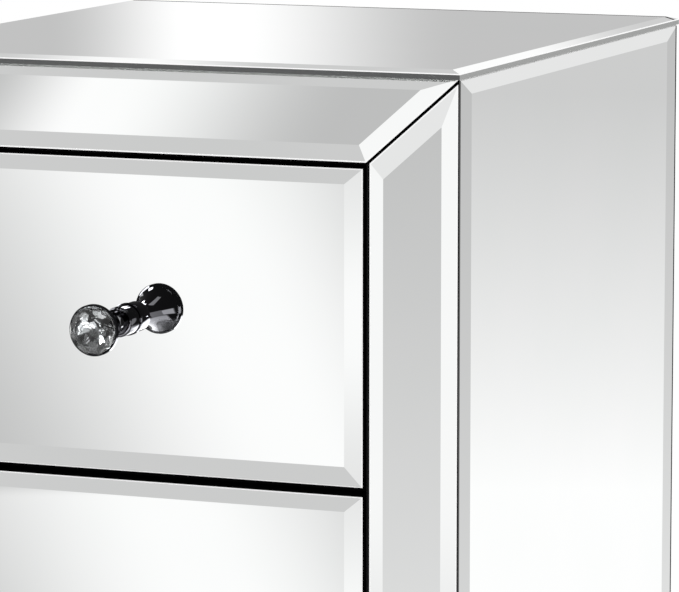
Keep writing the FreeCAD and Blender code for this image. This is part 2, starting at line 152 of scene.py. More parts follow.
def card(under, grey, across, upright, sides=(2, 2), below=2, above=2, lean=0.0, profile="SMOOTHSTEP"):
    """Lays a soft card over a sky. Lean is its shift in azimuth for each degree of elevation."""
    middle = sum(upright) / 2
    along = azimuth
    if lean:
        shift = add_node(sky, "ShaderNodeMath", {0: elevation, 1: -lean, 2: lean * middle},
                         operation="MULTIPLY_ADD")
        along = add_node(sky, "ShaderNodeMath", {0: azimuth, 1: shift.outputs[0]}).outputs[0]
    edges = [
        (along, across[0] - sides[0], across[0], "SMOOTHSTEP"),
        (along, across[1] + sides[1], across[1], "SMOOTHSTEP"),
        (elevation, upright[0] - below, upright[0], profile),
        (elevation, upright[1] + above, upright[1], profile),
    ]
    mask = 1.0
    for angle, outside, inside, shape in edges:
        edge = add_node(sky, "ShaderNodeMapRange", {"Value": angle, "From Min": outside, "From Max": inside},
                        interpolation_type=shape)
        mask = add_node(sky, "ShaderNodeMath", {0: edge.outputs[0], 1: mask}, operation="MULTIPLY").outputs[0]
    return add_node(sky, "ShaderNodeMix", {"Factor": mask, "A": under, "B": float(grey)}).outputs["Result"]


# %% [markdown]
# The list below is the hanging plan. The first cards are broad ones that give every other side of the table
# something to show, and the rest are small and aimed, one group for each pane of glass.

# %% Studio cards
panel_cards = [
    # Broad cards to the left, to the right, overhead and straight in front
    (238, (-118, -82), (-14, 26), (16, 16), 14, 18),
    (238, (84, 118), (-14, 26), (12, 14), 14, 18),
    (240, (-181, 181), (80, 91), (1, 1), 12, 1),
    (236, (-5, 6), (1, 9), (7, 5), 4, 8),
    # Behind the table on the left: what the top and its bevels show
    (190, (-164, -150), (1, 10.5), (1.5, 1.5), 1, 1),
    (255, (-156.9, -156.6), (1, 10.5), (3.1, 1.95), 1, 1),
    (252, (-172, -158), (14.5, 26), (5, 2), 1.2, 3),
    (252, (-150.7, -150.2), (22, 45), (1.9, 1.8), 4, 6),
    # High in front: what the sloping rail and the bevel at its mitre show
    (190, (-39, -27), (40, 53)),
    (255, (-36.7, -36.3), (40, 53), (2.0, 3.9)),
    (250, (-19, 12), (35, 60), (3, 3)),
    # Low in front on the left: what the drawer fronts show, one card for each drawer
    (190, (-30, -17.5), (-14.5, -5), (2, 2), 1, 1),
    (255, (-23.5, -23.0), (-10.4, -5), (4.4, 4.0), 0.3, 1, -0.46),
    (255, (-23.2, -22.7), (-14.5, -10.7), (4.4, 4.0), 1, 0.3, -0.46),
    (231, (-12, -2), (-15, -5), (2, 2), 1, 1),
    (253, (-12, -2), (-8.7, -8.3), (2, 2), 2, 2),
    (253, (-12, -2), (-12.8, -12.4), (2, 2), 2, 2),
    # In front on the right: what the stile, its bevels and its mitre show
    (190, (30, 46), (-20, -4.5)),
    (255, (30, 46), (-35, -20), (2, 2), 2, 14.8, 0.0, "LINEAR"),
    (250, (12, 23.5), (-10.5, -6.9), (2, 2), 5, 3),
    (250, (50, 60), (-10.5, -3.5), (2, 2), 5, 2),
    (231, (24, 33), (0.5, 8), (1.5, 1.5), 1.5, 1.5),
    # Behind the table on the right: what the side and its bevels show
    (255, (157.5, 164.5), (-35, -10.6), (2, 2), 2, 5, 0.0, "LINEAR"),
    (230, (152, 170), (0, 5), (2, 2), 1.5, 2),
    (191, (145, 153), (-20, -4), (1.5, 1.5), 2, 2),
    (255, (145, 153), (-40, -25), (1.5, 1.5), 2, 19.5, 0.0, "LINEAR"),
    (191, (167.4, 176), (-20, -4), (0.8, 1.5), 2, 2),
    (255, (167.4, 176), (-40, -18.3), (0.8, 1.5), 2, 12.8, 0.0, "LINEAR"),
]
PANEL_ROOM_GREY = 204
panel_sky = bare_sky(PANEL_ROOM_GREY)
for place in panel_cards:
    panel_sky = card(panel_sky, *place)
print("studio has", len(panel_cards), "cards for the panels")

# %% [markdown]
# Crystal and polished metal live on contrast: in an even room they look like milk glass and grey paint. So a
# second sky is a dark room with a pale ground and a few bright windows. Light that has bounced twice or more
# comes from it, and so do the reflections in everything that isn't a perfect mirror, such as the chrome.

# %% Room for the knobs
knob_cards = [
    (480, (-30, 55), (-91, -48), (6, 6), 2, 8),
    (500, (-30, 55), (-40, -26), (6, 6), 8, 12),
    (165, (-30, -12), (-24, -6), (4, 6), 4, 4),
    (700, (-12, 16), (-26, -13), (2, 3), 3, 4),
    (520, (54, 70), (-16, 1), (4, 4), 4, 4),
    (1000, (-100, -80), (14, 40), (3, 3), 3, 3),
    (1000, (-56, -46), (28, 40), (2, 2), 2, 2),
    (1200, (-27, -24), (19, 24), (1, 1), 1, 1),
    (1200, (-18, -15), (23, 28), (1, 1), 1, 1),
    (1200, (-9, -6), (27, 32), (1, 1), 1, 1),
    (1200, (12, 13), (-13, -12), (0.5, 0.5), 0.5, 0.5),
    (1200, (20, 21), (-4, -3), (0.5, 0.5), 0.5, 0.5),
    (330, (-60, -40), (-12, 8), (2, 2), 2, 2),
    (340, (-8, 6), (-4, 12), (2, 2), 2, 2),
    (330, (30, 52), (-18, 4), (2, 2), 2, 2),
    (380, (6, 26), (36, 56), (2, 2), 2, 2),
]
KNOB_ROOM_GREY = 80
knob_sky = bare_sky(KNOB_ROOM_GREY)
for place in knob_cards:
    knob_sky = card(knob_sky, *place)
print("and", len(knob_cards), "cards for the knobs")

# %% [markdown]
# The cards are given as the greys that a screen shows, so they are turned into linear light here. Silver
# reflects a little less than all of the light, which the studio's strength makes up for. The camera itself
# sees plain white behind the table, and matt surfaces get even light. A light path node tells these apart.

# %% World
SCREEN_WHITE = 255.0
SCREEN_GAMMA = 2.2
STUDIO_STRENGTH = 1.06
EVEN_LIGHT = 1.0
PLAIN_WHITE = 1.0
TWO_BOUNCES = 2.5     # the last step, to the sky, is counted too
path = add_node(sky, "ShaderNodeLightPath")
bounced_twice = add_node(sky, "ShaderNodeMath", {0: path.outputs["Ray Depth"], 1: TWO_BOUNCES},
                         operation="GREATER_THAN")
not_flat = add_node(sky, "ShaderNodeMath", {0: 1.0, 1: path.outputs["Is Singular Ray"]}, operation="SUBTRACT")
in_room = add_node(sky, "ShaderNodeMath", {0: bounced_twice.outputs[0], 1: not_flat.outputs[0]},
                   operation="MAXIMUM")
grey = add_node(sky, "ShaderNodeMix", {"Factor": in_room.outputs[0], "A": panel_sky, "B": knob_sky})
share = add_node(sky, "ShaderNodeMath", {0: grey.outputs["Result"], 1: SCREEN_WHITE}, operation="DIVIDE")
light = add_node(sky, "ShaderNodeMath", {0: share.outputs[0], 1: SCREEN_GAMMA}, operation="POWER")
studio = add_node(sky, "ShaderNodeBackground", {"Color": light.outputs[0], "Strength": STUDIO_STRENGTH})
even = add_node(sky, "ShaderNodeBackground", {"Color": (1, 1, 1, 1), "Strength": EVEN_LIGHT})
white = add_node(sky, "ShaderNodeBackground", {"Color": (1, 1, 1, 1), "Strength": PLAIN_WHITE})
shiny = add_node(sky, "ShaderNodeMath", {
    0: path.outputs["Is Glossy Ray"], 1: path.outputs["Is Transmission Ray"]}, operation="MAXIMUM")
lit = add_node(sky, "ShaderNodeMixShader", {0: shiny.outputs[0], 1: even.outputs[0], 2: studio.outputs[0]})
seen = add_node(sky, "ShaderNodeMixShader", {
    0: path.outputs["Is Camera Ray"], 1: lit.outputs[0], 2: white.outputs[0]})
add_node(sky, "ShaderNodeOutputWorld", {"Surface": seen.outputs[0]})
print("studio sky has", len(sky.nodes), "nodes")

# %% [markdown]
# ## The floor
# A pale floor holds the soft shadow under the table. It is a disc that fades out into the white, so no
# edge of it shows, neither to the camera nor in the glass.

# %% Floor
FLOOR_RADIUS = 0.9
FLOOR_SOLID_RADIUS = 0.5
FLOOR_SIDES = 96
bpy.ops.object.select_all(action="DESELECT")
bpy.ops.mesh.primitive_circle_add(vertices=FLOOR_SIDES, radius=FLOOR_RADIUS, fill_type="NGON",
                                  location=(0, 0, 0))
floor = bpy.context.object
floor.name = "studio_floor"
floor_material, tree = new_material("pale studio floor")
place = add_node(tree, "ShaderNodeTexCoord").outputs["Object"]
distance = add_node(tree, "ShaderNodeVectorMath", {0: place}, operation="LENGTH")
fade = add_node(tree, "ShaderNodeMapRange", {"Value": distance.outputs["Value"], "From Min": FLOOR_RADIUS,
                                             "From Max": FLOOR_SOLID_RADIUS}, interpolation_type="SMOOTHSTEP")
paint = add_node(tree, "ShaderNodeBsdfDiffuse", {"Color": linear("#F4F4F3")})
clear = add_node(tree, "ShaderNodeBsdfTransparent")
finish_material(tree, add_node(tree, "ShaderNodeMixShader", {0: fade.outputs[0], 1: clear.outputs[0],
                                                             2: paint.outputs[0]}))
floor.data.materials.append(floor_material)
print("floor disc of", FLOOR_RADIUS, "m radius")

# %% [markdown]
# ## Mirror glass
# Each panel is clear float glass, silvered and painted on its back, with a wide polished bevel, a narrow
# ground chamfer and a cut edge. The three kinds of surface differ only in the way they face, so the material
# compares the surface's normal with the panel's own front: silver where they agree, frosted on the chamfer,
# dark on the edge. A rim that faces forward or back can have another tone than one that faces up or sideways.
# Along the rear of the top and of the sides a narrow dark line is painted on the face, with no silver.
# The rest is nearly clean, with faint wiping marks a hand wide. Three materials would do the same, but the
# borders between them would have to be marked on every mesh.

# %% Mirror glass
SILVER = linear("#F8F8F8")
SILVER_WIPED = linear("#F3F5F4")
WIPE_WIDTH = 90 * MM
FROSTED = linear("#FFFFFF")
# Painted shade: a side panel's chamfers that face forward or back are grey, not frosted white, for the shade
# of the corner seam
SEAM_PAINTED_SHADE = linear("#606060")
# Painted shade and painted light: the top's cut edge is dark where it faces forward or back, pale where it
# faces sideways
EDGE_IN_SHADE = linear("#5C5D5D")
EDGE_IN_LIGHT = linear("#A3A4A3")
# Partly the cut edge's own dark tone, deepened to black as painted shade of the gaps the edges face
EDGE_TONE_AND_GAP_SHADE = linear("#050505")
# A flat dark colour painted in a narrow line along the rear edges
REAR_DARK_LINE = linear("#1E1E1E")
SIDE_LINE = 3.2 * MM       # a painted dark line, without silver, along the rear edge of a side panel
TOP_LINE = 3.5 * MM        # and in front of the top's rear bevel
TOP_BEVEL = 6.5 * MM
CHAMFER_STARTS = 0.93      # cosine between the surface's normal and the panel's front
EDGE_STARTS = 0.5
FORWARD_RIM = 0.4          # share of a rim's normal along y, above which it faces forward or back
RIM_ROUGHNESS = 0.6
NO_LINE = (100.0, 101.0)   # metres behind the table, so that no line shows


def front_of(node):
    """The way a panel faces: against its largest face, which is the painted back."""
    back = max(nodes[node].data.polygons, key=lambda face: face.area)
    return -back.normal


def mirror_glass(node, chamfers, edges, line=NO_LINE):
    """Chamfers and edges are two tones each: facing forward or back, and elsewhere.

    Line is where the painted dark line starts and ends, in y.
    """
    material, tree = new_material("silvered glass of " + node)
    place = add_node(tree, "ShaderNodeTexCoord").outputs["Object"]
    normal = add_node(tree, "ShaderNodeNewGeometry").outputs["True Normal"]
    agree = add_node(tree, "ShaderNodeVectorMath", {0: normal, 1: front_of(node)}, operation="DOT_PRODUCT")
    agree = agree.outputs["Value"]
    on_face = add_node(tree, "ShaderNodeMath", {0: agree, 1: CHAMFER_STARTS},
                       operation="GREATER_THAN").outputs[0]
    ground = add_node(tree, "ShaderNodeMath", {0: agree, 1: EDGE_STARTS}, operation="GREATER_THAN").outputs[0]
    depth = add_node(tree, "ShaderNodeSeparateXYZ", {0: place}).outputs["Y"]
    past = [add_node(tree, "ShaderNodeMath", {0: depth, 1: y}, operation="GREATER_THAN").outputs[0]
            for y in line]
    strip = add_node(tree, "ShaderNodeMath", {0: past[0], 1: past[1]}, operation="SUBTRACT").outputs[0]
    # The painted dark line: inside it, the face is a flat dark colour instead of silver
    dark_line = add_node(tree, "ShaderNodeMath", {0: strip, 1: on_face}, operation="MULTIPLY").outputs[0]
    silvered = add_node(tree, "ShaderNodeMath", {0: on_face, 1: dark_line}, operation="SUBTRACT",
                        use_clamp=True).outputs[0]
    lengthways = add_node(tree, "ShaderNodeSeparateXYZ", {0: normal}).outputs["Y"]
    size = add_node(tree, "ShaderNodeMath", {0: lengthways}, operation="ABSOLUTE").outputs[0]
    fore = add_node(tree, "ShaderNodeMath", {0: size, 1: FORWARD_RIM}, operation="GREATER_THAN").outputs[0]
    tones = [add_node(tree, "ShaderNodeMix", {0: fore, 6: pair[1], 7: pair[0]}, data_type="RGBA").outputs[2]
             for pair in (edges, chamfers)]
    rim = add_node(tree, "ShaderNodeMix", {0: ground, 6: tones[0], 7: tones[1]}, data_type="RGBA").outputs[2]
    rim = add_node(tree, "ShaderNodeMix", {0: dark_line, 6: rim, 7: REAR_DARK_LINE}, data_type="RGBA").outputs[2]
    wiped = add_node(tree, "ShaderNodeTexNoise", {
        "Vector": place, "Scale": 1 / WIPE_WIDTH, "Detail": 3.0}).outputs[0]
    silver = add_node(tree, "ShaderNodeMix", {0: wiped, 6: SILVER, 7: SILVER_WIPED},
                      data_type="RGBA").outputs[2]
    colour = add_node(tree, "ShaderNodeMix", {0: silvered, 6: rim, 7: silver}, data_type="RGBA").outputs[2]
    rough = add_node(tree, "ShaderNodeMapRange", {
        "Value": silvered, "To Min": RIM_ROUGHNESS, "To Max": 0.0}).outputs[0]
    finish_material(tree, add_node(tree, "ShaderNodeBsdfPrincipled", {
        "Base Color": colour, "Metallic": silvered, "Roughness": rough, "Specular IOR Level": 0.0}))
    return material


# %% [markdown]
# ## The other finishes
# Most other materials here are two shades in soft clouds, a range of roughness, and a fine relief. What tells
# them apart is the size of those patterns, so one function makes them from sizes in millimetres along x, y
# and z. Long sizes along a board give wood its grain, and long sizes across a turned piece give it the lines
# of the lathe. A separate set of nodes for each material would mostly repeat itself.

# %% A finish from real sizes
CLOUD_LOW = 0.3      # soft noise seldom leaves this range
CLOUD_HIGH = 0.7


def surface(name, shades, cloud, relief, depth, rough, **sockets):
    """Shades are two hex colours. Cloud and relief are pattern sizes and depth is the relief's, all in mm."""
    material, tree = new_material(name)
    place = add_node(tree, "ShaderNodeTexCoord").outputs["Object"]
    patterns = []
    for sizes in (cloud, relief):
        per_metre = [1 / (size * MM) for size in sizes]
        scaled = add_node(tree, "ShaderNodeMapping", {"Vector": place, "Scale": per_metre}).outputs[0]
        noise = add_node(tree, "ShaderNodeTexNoise", {"Vector": scaled, "Scale": 1.0, "Detail": 4.0})
        patterns.append(noise.outputs[0])
    spread = add_node(tree, "ShaderNodeMapRange", {
        "Value": patterns[0], "From Min": CLOUD_LOW, "From Max": CLOUD_HIGH})
    colour = add_node(tree, "ShaderNodeMix", {
        0: spread.outputs[0], 6: linear(shades[0]), 7: linear(shades[1])}, data_type="RGBA")
    shine = add_node(tree, "ShaderNodeMapRange", {
        "Value": patterns[0], "From Min": CLOUD_LOW, "From Max": CLOUD_HIGH,
        "To Min": rough[0], "To Max": rough[1]})
    values = {"Base Color": colour.outputs[2], "Roughness": shine.outputs[0]}
    if depth:
        bump = add_node(tree, "ShaderNodeBump", {
            "Height": patterns[1], "Strength": 1.0, "Distance": depth * MM})
        values["Normal"] = bump.outputs[0]
    values.update({key.replace("_", " "): value for key, value in sockets.items()})
    finish_material(tree, add_node(tree, "ShaderNodeBsdfPrincipled", values))
    return material


def even_sizes(size):
    return (size, size, size)


# %% [markdown]
# The carcass is fibreboard under sprayed black lacquer. The drawers have felt on their floors, the runners
# are zinc-plated steel and nylon, and the knobs are dark chrome with a crystal.

# %% Finishes
FINISHES = {
    # Nearly black and of low sheen, with the dimples that sprayed lacquer keeps, about 2 mm apart
    "black_lacquer": surface("sprayed black lacquer", ("#090909", "#111112"), even_sizes(45), even_sizes(2.0),
                             0.012, (0.36, 0.5), Specular_IOR_Level=0.05),
    # Dyed wool: dull, with clouds where it was brushed and fibres just fine enough to see
    "drawer_lining": surface("black wool felt", ("#1D1D1F", "#2C2C2E"), even_sizes(7), even_sizes(0.7), 0.25,
                             (0.9, 1.0), Sheen_Weight=0.35, Sheen_Roughness=0.5, Specular_IOR_Level=0.1),
    # Pale bare wood with short darker flecks
    "beech": surface("bare beech", ("#C69C6D", "#DDB98F"), (1.2, 1.2, 6), (0.4, 0.4, 3), 0.05, (0.55, 0.7)),
    # Bright bluish metal with a soft crystalline mottle
    "zinc_steel": surface("zinc-plated steel", ("#AEB3B8", "#C9CDD1"), even_sizes(1.6), even_sizes(0.4),
                          0.004, (0.24, 0.4), Metallic=1.0),
    # Slightly translucent white with the fine dull skin of a moulding
    "nylon": surface("moulded white nylon", ("#E4E3DB", "#EDECE6"), even_sizes(9), even_sizes(0.6), 0.01,
                     (0.42, 0.55), Subsurface_Weight=0.08, Subsurface_Scale=1.0 * MM),
    # Dull black with the even grain of an etched mould
    "foot_plastic": surface("moulded black plastic", ("#121214", "#1A1A1C"), even_sizes(12), even_sizes(0.8),
                            0.05, (0.5, 0.65)),
    # Dark mirror metal, buffed until the lines of the lathe, 0.5 mm apart, are all but gone
    "dark_chrome": surface("polished dark chrome", ("#454548", "#4A4A4D"), even_sizes(14), (900, 0.5, 900),
                           0.00001, (0.015, 0.035), Metallic=1.0, Specular_Tint=linear("#DCDCDE")),
    # Clear and faultless, with a trace of cloudiness in its colour
    "crystal": surface("clear cut crystal", ("#F4F8F8", "#FFFFFF"), even_sizes(8), even_sizes(5), 0,
                       (0.0, 0.002), Transmission_Weight=1.0, IOR=1.55),
}
print("made", len(FINISHES), "finishes")

# %% [markdown]
# Three finishes stand apart. The foil behind the crystal is flat, and a Voronoi texture paints it in cells
# of different brightness, painted light in place of what crinkled facets catch. Its creases could be
# modelled, but seen through cut glass they would look the same. The drawers' stained wood is needed twice,
# because its grain runs along the board and the boards lie two ways.

# %% Foil and stained wood
FOIL_CELL = 3.0 * MM
FOIL_CONTRAST = 2.4      # a power that leaves few cells bright
foil_with_painted_light, tree = new_material("flat foil, painted crinkle light")
# Flat cells, each painted another brightness for the light a crinkled facet catches, with a sharp shine
place = add_node(tree, "ShaderNodeTexCoord").outputs["Object"]
cells = add_node(tree, "ShaderNodeTexVoronoi", {"Vector": place, "Scale": 1 / FOIL_CELL}).outputs["Color"]
shade = add_node(tree, "ShaderNodeSeparateColor", {0: cells}).outputs["Red"]
few_bright = add_node(tree, "ShaderNodeMath", {0: shade, 1: FOIL_CONTRAST}, operation="POWER").outputs[0]
tone = add_node(tree, "ShaderNodeMix", {0: few_bright, 6: linear("#060607"), 7: linear("#F4F6F8")},
                data_type="RGBA")
finish_material(tree, add_node(tree, "ShaderNodeBsdfPrincipled", {
    "Base Color": tone.outputs[2], "Metallic": 0.8, "Roughness": 0.03}))
# Stained black, so that only the figure and the open pores tell it from paint
STAIN = ("#231F1C", "#3A342F")
wood_front_to_back = surface("black-stained wood, grain front to back", STAIN, (3.5, 150, 3.5),
                             (0.6, 16, 0.6), 0.06, (0.45, 0.62), Specular_IOR_Level=0.35)
wood_side_to_side = surface("black-stained wood, grain side to side", STAIN, (150, 3.5, 3.5),
                            (16, 0.6, 0.6), 0.06, (0.45, 0.62), Specular_IOR_Level=0.35)
print("and", [made.name for made in (foil_with_painted_light, wood_front_to_back, wood_side_to_side)])

# %% [markdown]
# Now each piece gets its finish by the material slot in its record. The front edge of the top gets painted
# shade and its right edge painted light, and the chamfer of a side panel is painted grey as corner seam
# shade.

# %% Give every piece its finish
slot_of = {piece["node"]: piece["material_slot"] for piece in frame["record"]["subparts"]}


def finish_for(name):
    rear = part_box(name)[1].y
    if name == "top_mirror":
        line = (rear - TOP_BEVEL - TOP_LINE, rear - TOP_BEVEL)
        return mirror_glass(name, (FROSTED, FROSTED), (EDGE_IN_SHADE, EDGE_IN_LIGHT), line)
    if "side_mirror" in name:
        line = (rear - SIDE_LINE, rear + SIDE_LINE)
        return mirror_glass(name, (SEAM_PAINTED_SHADE, FROSTED), (EDGE_TONE_AND_GAP_SHADE, EDGE_TONE_AND_GAP_SHADE), line)
    if slot_of[name] == "mirror":
        return mirror_glass(name, (FROSTED, FROSTED), (EDGE_TONE_AND_GAP_SHADE, EDGE_TONE_AND_GAP_SHADE))
    if slot_of[name] == "drawer_wood":
        return wood_side_to_side if name.endswith("back") else wood_front_to_back
    return FINISHES[slot_of[name]]


for name, piece in nodes.items():
    piece.data.materials.clear()
    piece.data.materials.append(finish_for(name))
print("finished", len(nodes), "pieces")

# %% [markdown]
# ## Turned pieces
# Knob stems, screws and feet are all round, and a lathe makes round things ring by ring. So one function
# draws such a piece out of a circle, each ring a step further along and scaled to its radius. A profile that
# comes back to its first ring makes a piece with a hole through it. Spinning a profile would give the same
# shapes, but each seam would have to be closed afterwards.

# %% Draw a round piece
MERGED_WITHIN = 0.001 * MM
WAYS = {
    "front": (Vector((0, -1, 0)), (math.pi / 2, 0, 0)),
    "back": (Vector((0, 1, 0)), (-math.pi / 2, 0, 0)),
    "up": (Vector((0, 0, 1)), (0, 0, 0)),
    "down": (Vector((0, 0, -1)), (math.pi, 0, 0)),
}


def draw_rings(name, sides, rings, start, way, twist=0.0):
    """Rings are (distance, radius) in mm, measured one way from the start."""
    out, tilt = WAYS[way]
    closed = rings[0] == rings[-1]
    first_along, first_radius = rings[0]
    bpy.ops.object.select_all(action="DESELECT")
    bpy.ops.mesh.primitive_circle_add(vertices=sides, radius=first_radius * MM, rotation=tilt,
                                      location=start + out * first_along * MM,
                                      fill_type="NOTHING" if closed else "NGON")
    piece = bpy.context.object
    piece.name = name
    bpy.ops.object.transform_apply(location=True, rotation=True, scale=True)
    bpy.ops.object.mode_set(mode="EDIT")
    bpy.ops.mesh.select_all(action="SELECT")
    for (last_along, last_radius), (along, radius) in zip(rings, rings[1:]):
        here = start + out * along * MM
        bpy.ops.mesh.extrude_region_move(TRANSFORM_OT_translate={"value": out * (along - last_along) * MM})
        growth = [1 if part else radius / last_radius for part in out]
        bpy.ops.transform.resize(value=growth, center_override=here)
        if twist:
            bpy.ops.transform.rotate(value=twist, orient_axis="Y", center_override=here)
    bpy.ops.mesh.select_all(action="SELECT")
    if closed:
        bpy.ops.mesh.remove_doubles(threshold=MERGED_WITHIN)
    bpy.ops.mesh.normals_make_consistent(inside=False)
    bpy.ops.object.mode_set(mode="OBJECT")
    return piece


# %% [markdown]
# Parts that repeat are drawn once and copied. A linked copy would share its mesh, so these are full copies,
# with their place in their own mesh. Each piece then says what it rides on and which CAD piece it stands for.

# %% Copy and dress a piece
def copy_to(piece, name, shift):
    """A copy of a piece with its own mesh, moved, with its place in its mesh."""
    bpy.ops.object.select_all(action="DESELECT")
    piece.select_set(True)
    bpy.context.view_layer.objects.active = piece
    bpy.ops.object.duplicate(linked=False)
    made = bpy.context.object
    made.name = name
    bpy.ops.transform.translate(value=shift)
    bpy.ops.object.transform_apply(location=True, rotation=True, scale=True)
    return made


def dress(piece, body, replaced):
    """Lets a piece ride on a body and stand for a CAD node."""
    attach(piece, body)
    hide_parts(replaced)


# %% [markdown]
# ## The knob's stem
# The stem is one turned piece of metal: a thin base ring on the glass, a straight collar with a rounded front
# edge, a neck, and a trumpet that opens into a hollow cup, with a lip and a thin bezel round the crystal. The
# trumpet's outline is an arc that leaves the neck straight and opens to the rim. Cylinders and cones could be
# joined instead, but the light would break where they meet.

# %% Knob stem
STEM_SIDES = 96
BASE_RING = [(0.0, 8.8), (0.3, 9.2), (0.9, 9.2), (1.2, 8.9), (1.2, 8.2), (1.6, 8.2), (1.6, 8.6)]
SHOULDER_START = 12.0
SHOULDER_END = 13.4
SHOULDER_RADIUS = 8.6
SHOULDER_ROUND = 1.4
SHOULDER_STEPS = 6
NECK_START = 13.5
NECK_RADIUS = 6.4
FLARE_START = 14.5
FLARE_END = 41.4
FLARE_RADIUS = 60.0
FLARE_STEPS = 18
LIP = [(41.5, 13.0), (43.2, 14.4), (45.4, 14.4), (45.7, 14.2), (45.7, 13.95), (45.2, 13.85)]
HOLLOW = [(43.6, 13.8), (40.0, 7.8), (37.8, 1.2)]
STEM_SMOOTH = math.radians(28)


def shoulder():
    """The collar's rounded front edge."""
    rings = []
    for step in range(SHOULDER_STEPS + 1):
        bend = math.pi / 2 * step / SHOULDER_STEPS
        along = SHOULDER_START + (SHOULDER_END - SHOULDER_START) * math.sin(bend)
        rings.append((along, SHOULDER_RADIUS - SHOULDER_ROUND * (1 - math.cos(bend))))
    return rings


def flare():
    """The trumpet's outline."""
    rings = []
    for step in range(FLARE_STEPS + 1):
        run = (FLARE_END - FLARE_START) * step / FLARE_STEPS
        radius = NECK_RADIUS + FLARE_RADIUS - math.sqrt(FLARE_RADIUS ** 2 - run ** 2)
        rings.append((FLARE_START + run, radius))
    return rings


stem_low, stem_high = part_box("upper_knob_stem")
knob_foot = Vector(((stem_low.x + stem_high.x) / 2, stem_high.y, (stem_low.z + stem_high.z) / 2))
outline = BASE_RING + shoulder() + [(NECK_START, NECK_RADIUS)] + flare() + LIP + HOLLOW
stem = draw_rings("upper_turned_stem", STEM_SIDES, outline, knob_foot, "front")
bpy.ops.object.shade_smooth_by_angle(angle=STEM_SMOOTH)
stem.data.materials.append(FINISHES["dark_chrome"])
print("stem has", len(stem.data.polygons), "faces")

# %% [markdown]
# ## The crystal
# A cut crystal is all flat facets: a small table in front, rings of slanting facets out to the widest part,
# and a cone behind, backed with foil, that throws the light forward again. It is drawn out of a circle too,
# but each ring is turned by half a side, so every face between two rings twists, and splitting those into
# triangles gives the facets. A ball could be cut by planes instead, with one cut for every facet. The faces
# that look back get the foil.

# %% Crystal
CRYSTAL_SIDES = 10
CROWN = [(54.0, 4.0), (52.6, 8.4), (49.6, 12.0), (46.6, 13.6), (45.2, 13.7)]
PAVILION = [(44.3, 13.2), (41.0, 7.6), (38.8, 1.2)]
LOOKS_BACK = 0.3       # share of a facet's normal that points back
cut_crystal = draw_rings("upper_cut_crystal", CRYSTAL_SIDES, CROWN + PAVILION, knob_foot, "front",
                         math.pi / CRYSTAL_SIDES)
bpy.ops.object.mode_set(mode="EDIT")
bpy.ops.mesh.select_all(action="SELECT")
bpy.ops.mesh.quads_convert_to_tris(quad_method="SHORTEST_DIAGONAL")
bpy.ops.object.mode_set(mode="OBJECT")
bpy.ops.object.shade_flat()
cut_crystal.data.materials.append(FINISHES["crystal"])
cut_crystal.data.materials.append(foil_with_painted_light)
for facet in cut_crystal.data.polygons:
    facet.material_index = 1 if facet.normal.y > LOOKS_BACK else 0
print("crystal has", len(cut_crystal.data.polygons), "facets")

# %% [markdown]
# The three knobs are alike, so stem and crystal are copied down to the other two drawers, each with its own
# mesh. Every one rides on its drawer and stands for that drawer's plain CAD stem or crystal.

# %% Three knobs
KNOB = [
    (stem, "turned_stem", "knob_stem", "dark_chrome"),
    (cut_crystal, "cut_crystal", "knob_crystal", "crystal"),
]
for drawer in DRAWERS:
    drop = Vector((0, 0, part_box(drawer + "_knob_stem")[0].z - stem_low.z))
    for first, word, node, slot in KNOB:
        piece = first if drawer == DRAWERS[0] else copy_to(first, drawer + "_" + word, drop)
        dress(piece, drawer + "_drawer", drawer + "_" + node)
print("dressed", len(DRAWERS), "knobs")

# %% [markdown]
# ## Where the small parts sit
# The CAD model keeps alike small parts, such as all the foot screws, in one node. A copy of such a node is
# split into its loose solids and measured, so that each new part can be put exactly where the plain one was.

# %% Measure the small parts
def mesh_copy(node, name):
    """A new object with its own copy of a node's mesh, its loose triangles joined."""
    bpy.ops.object.select_all(action="DESELECT")
    piece = bpy.data.objects.new(name, nodes[node].data.copy())
    bpy.context.scene.collection.objects.link(piece)
    piece.select_set(True)
    bpy.context.view_layer.objects.active = piece
    bpy.ops.object.mode_set(mode="EDIT")
    bpy.ops.mesh.select_all(action="SELECT")
    bpy.ops.mesh.remove_doubles(threshold=MERGED_WITHIN)
    bpy.ops.object.mode_set(mode="OBJECT")
    return piece


def loose_boxes(node):
    """The low and high corner of every solid in a node, in a fixed order."""
    mesh_copy(node, "measured")
    bpy.ops.mesh.separate(type="LOOSE")
    boxes = []
    for part in bpy.context.selected_objects:
        places = [corner.co for corner in part.data.vertices]
        boxes.append((Vector([min(p[i] for p in places) for i in range(3)]),
                      Vector([max(p[i] for p in places) for i in range(3)])))
    bpy.ops.object.delete()
    return sorted(boxes, key=lambda box: [round(c, 4) for c in box[0]])


def end_of(box, way):
    """The middle of a box's end, from which a part is drawn one way."""
    low, high = box
    out = WAYS[way][0]
    end = [(low[i] + high[i]) / 2 for i in range(3)]
    for i in range(3):
        if out[i]:
            end[i] = low[i] if out[i] > 0 else high[i]
    return Vector(end)


print("back board has", len(loose_boxes("back_board_screws")), "screws")

# %% [markdown]
# ## Screws
# All the screws are ordinary cross-head ones of plated steel. Each is drawn as a round piece: a head, a shank
# with the ridges of the thread, and a point. A thread is really a spiral, but rings look the same at this
# size.

# %% Outline of a screw
SCREW_SIDES = 32
COUNTERSUNK = [(0.0, 3.3), (0.2, 3.5), (2.0, 1.75)]
PAN_HEAD = [(0.0, 1.9), (0.2, 2.6), (0.7, 3.2), (1.4, 3.5), (2.0, 3.5), (2.0, 1.75)]
KNOB_HEAD = [(0.0, 2.2), (0.3, 3.0), (0.9, 3.7), (1.8, 4.0), (2.6, 4.0), (2.6, 1.95)]
THREAD_PITCH = 1.4
THREAD_DEPTH = 0.35
PLAIN_PITCHES = 3        # without thread, at the end
POINT_LENGTH = 2.0
POINT_RADIUS = 0.15


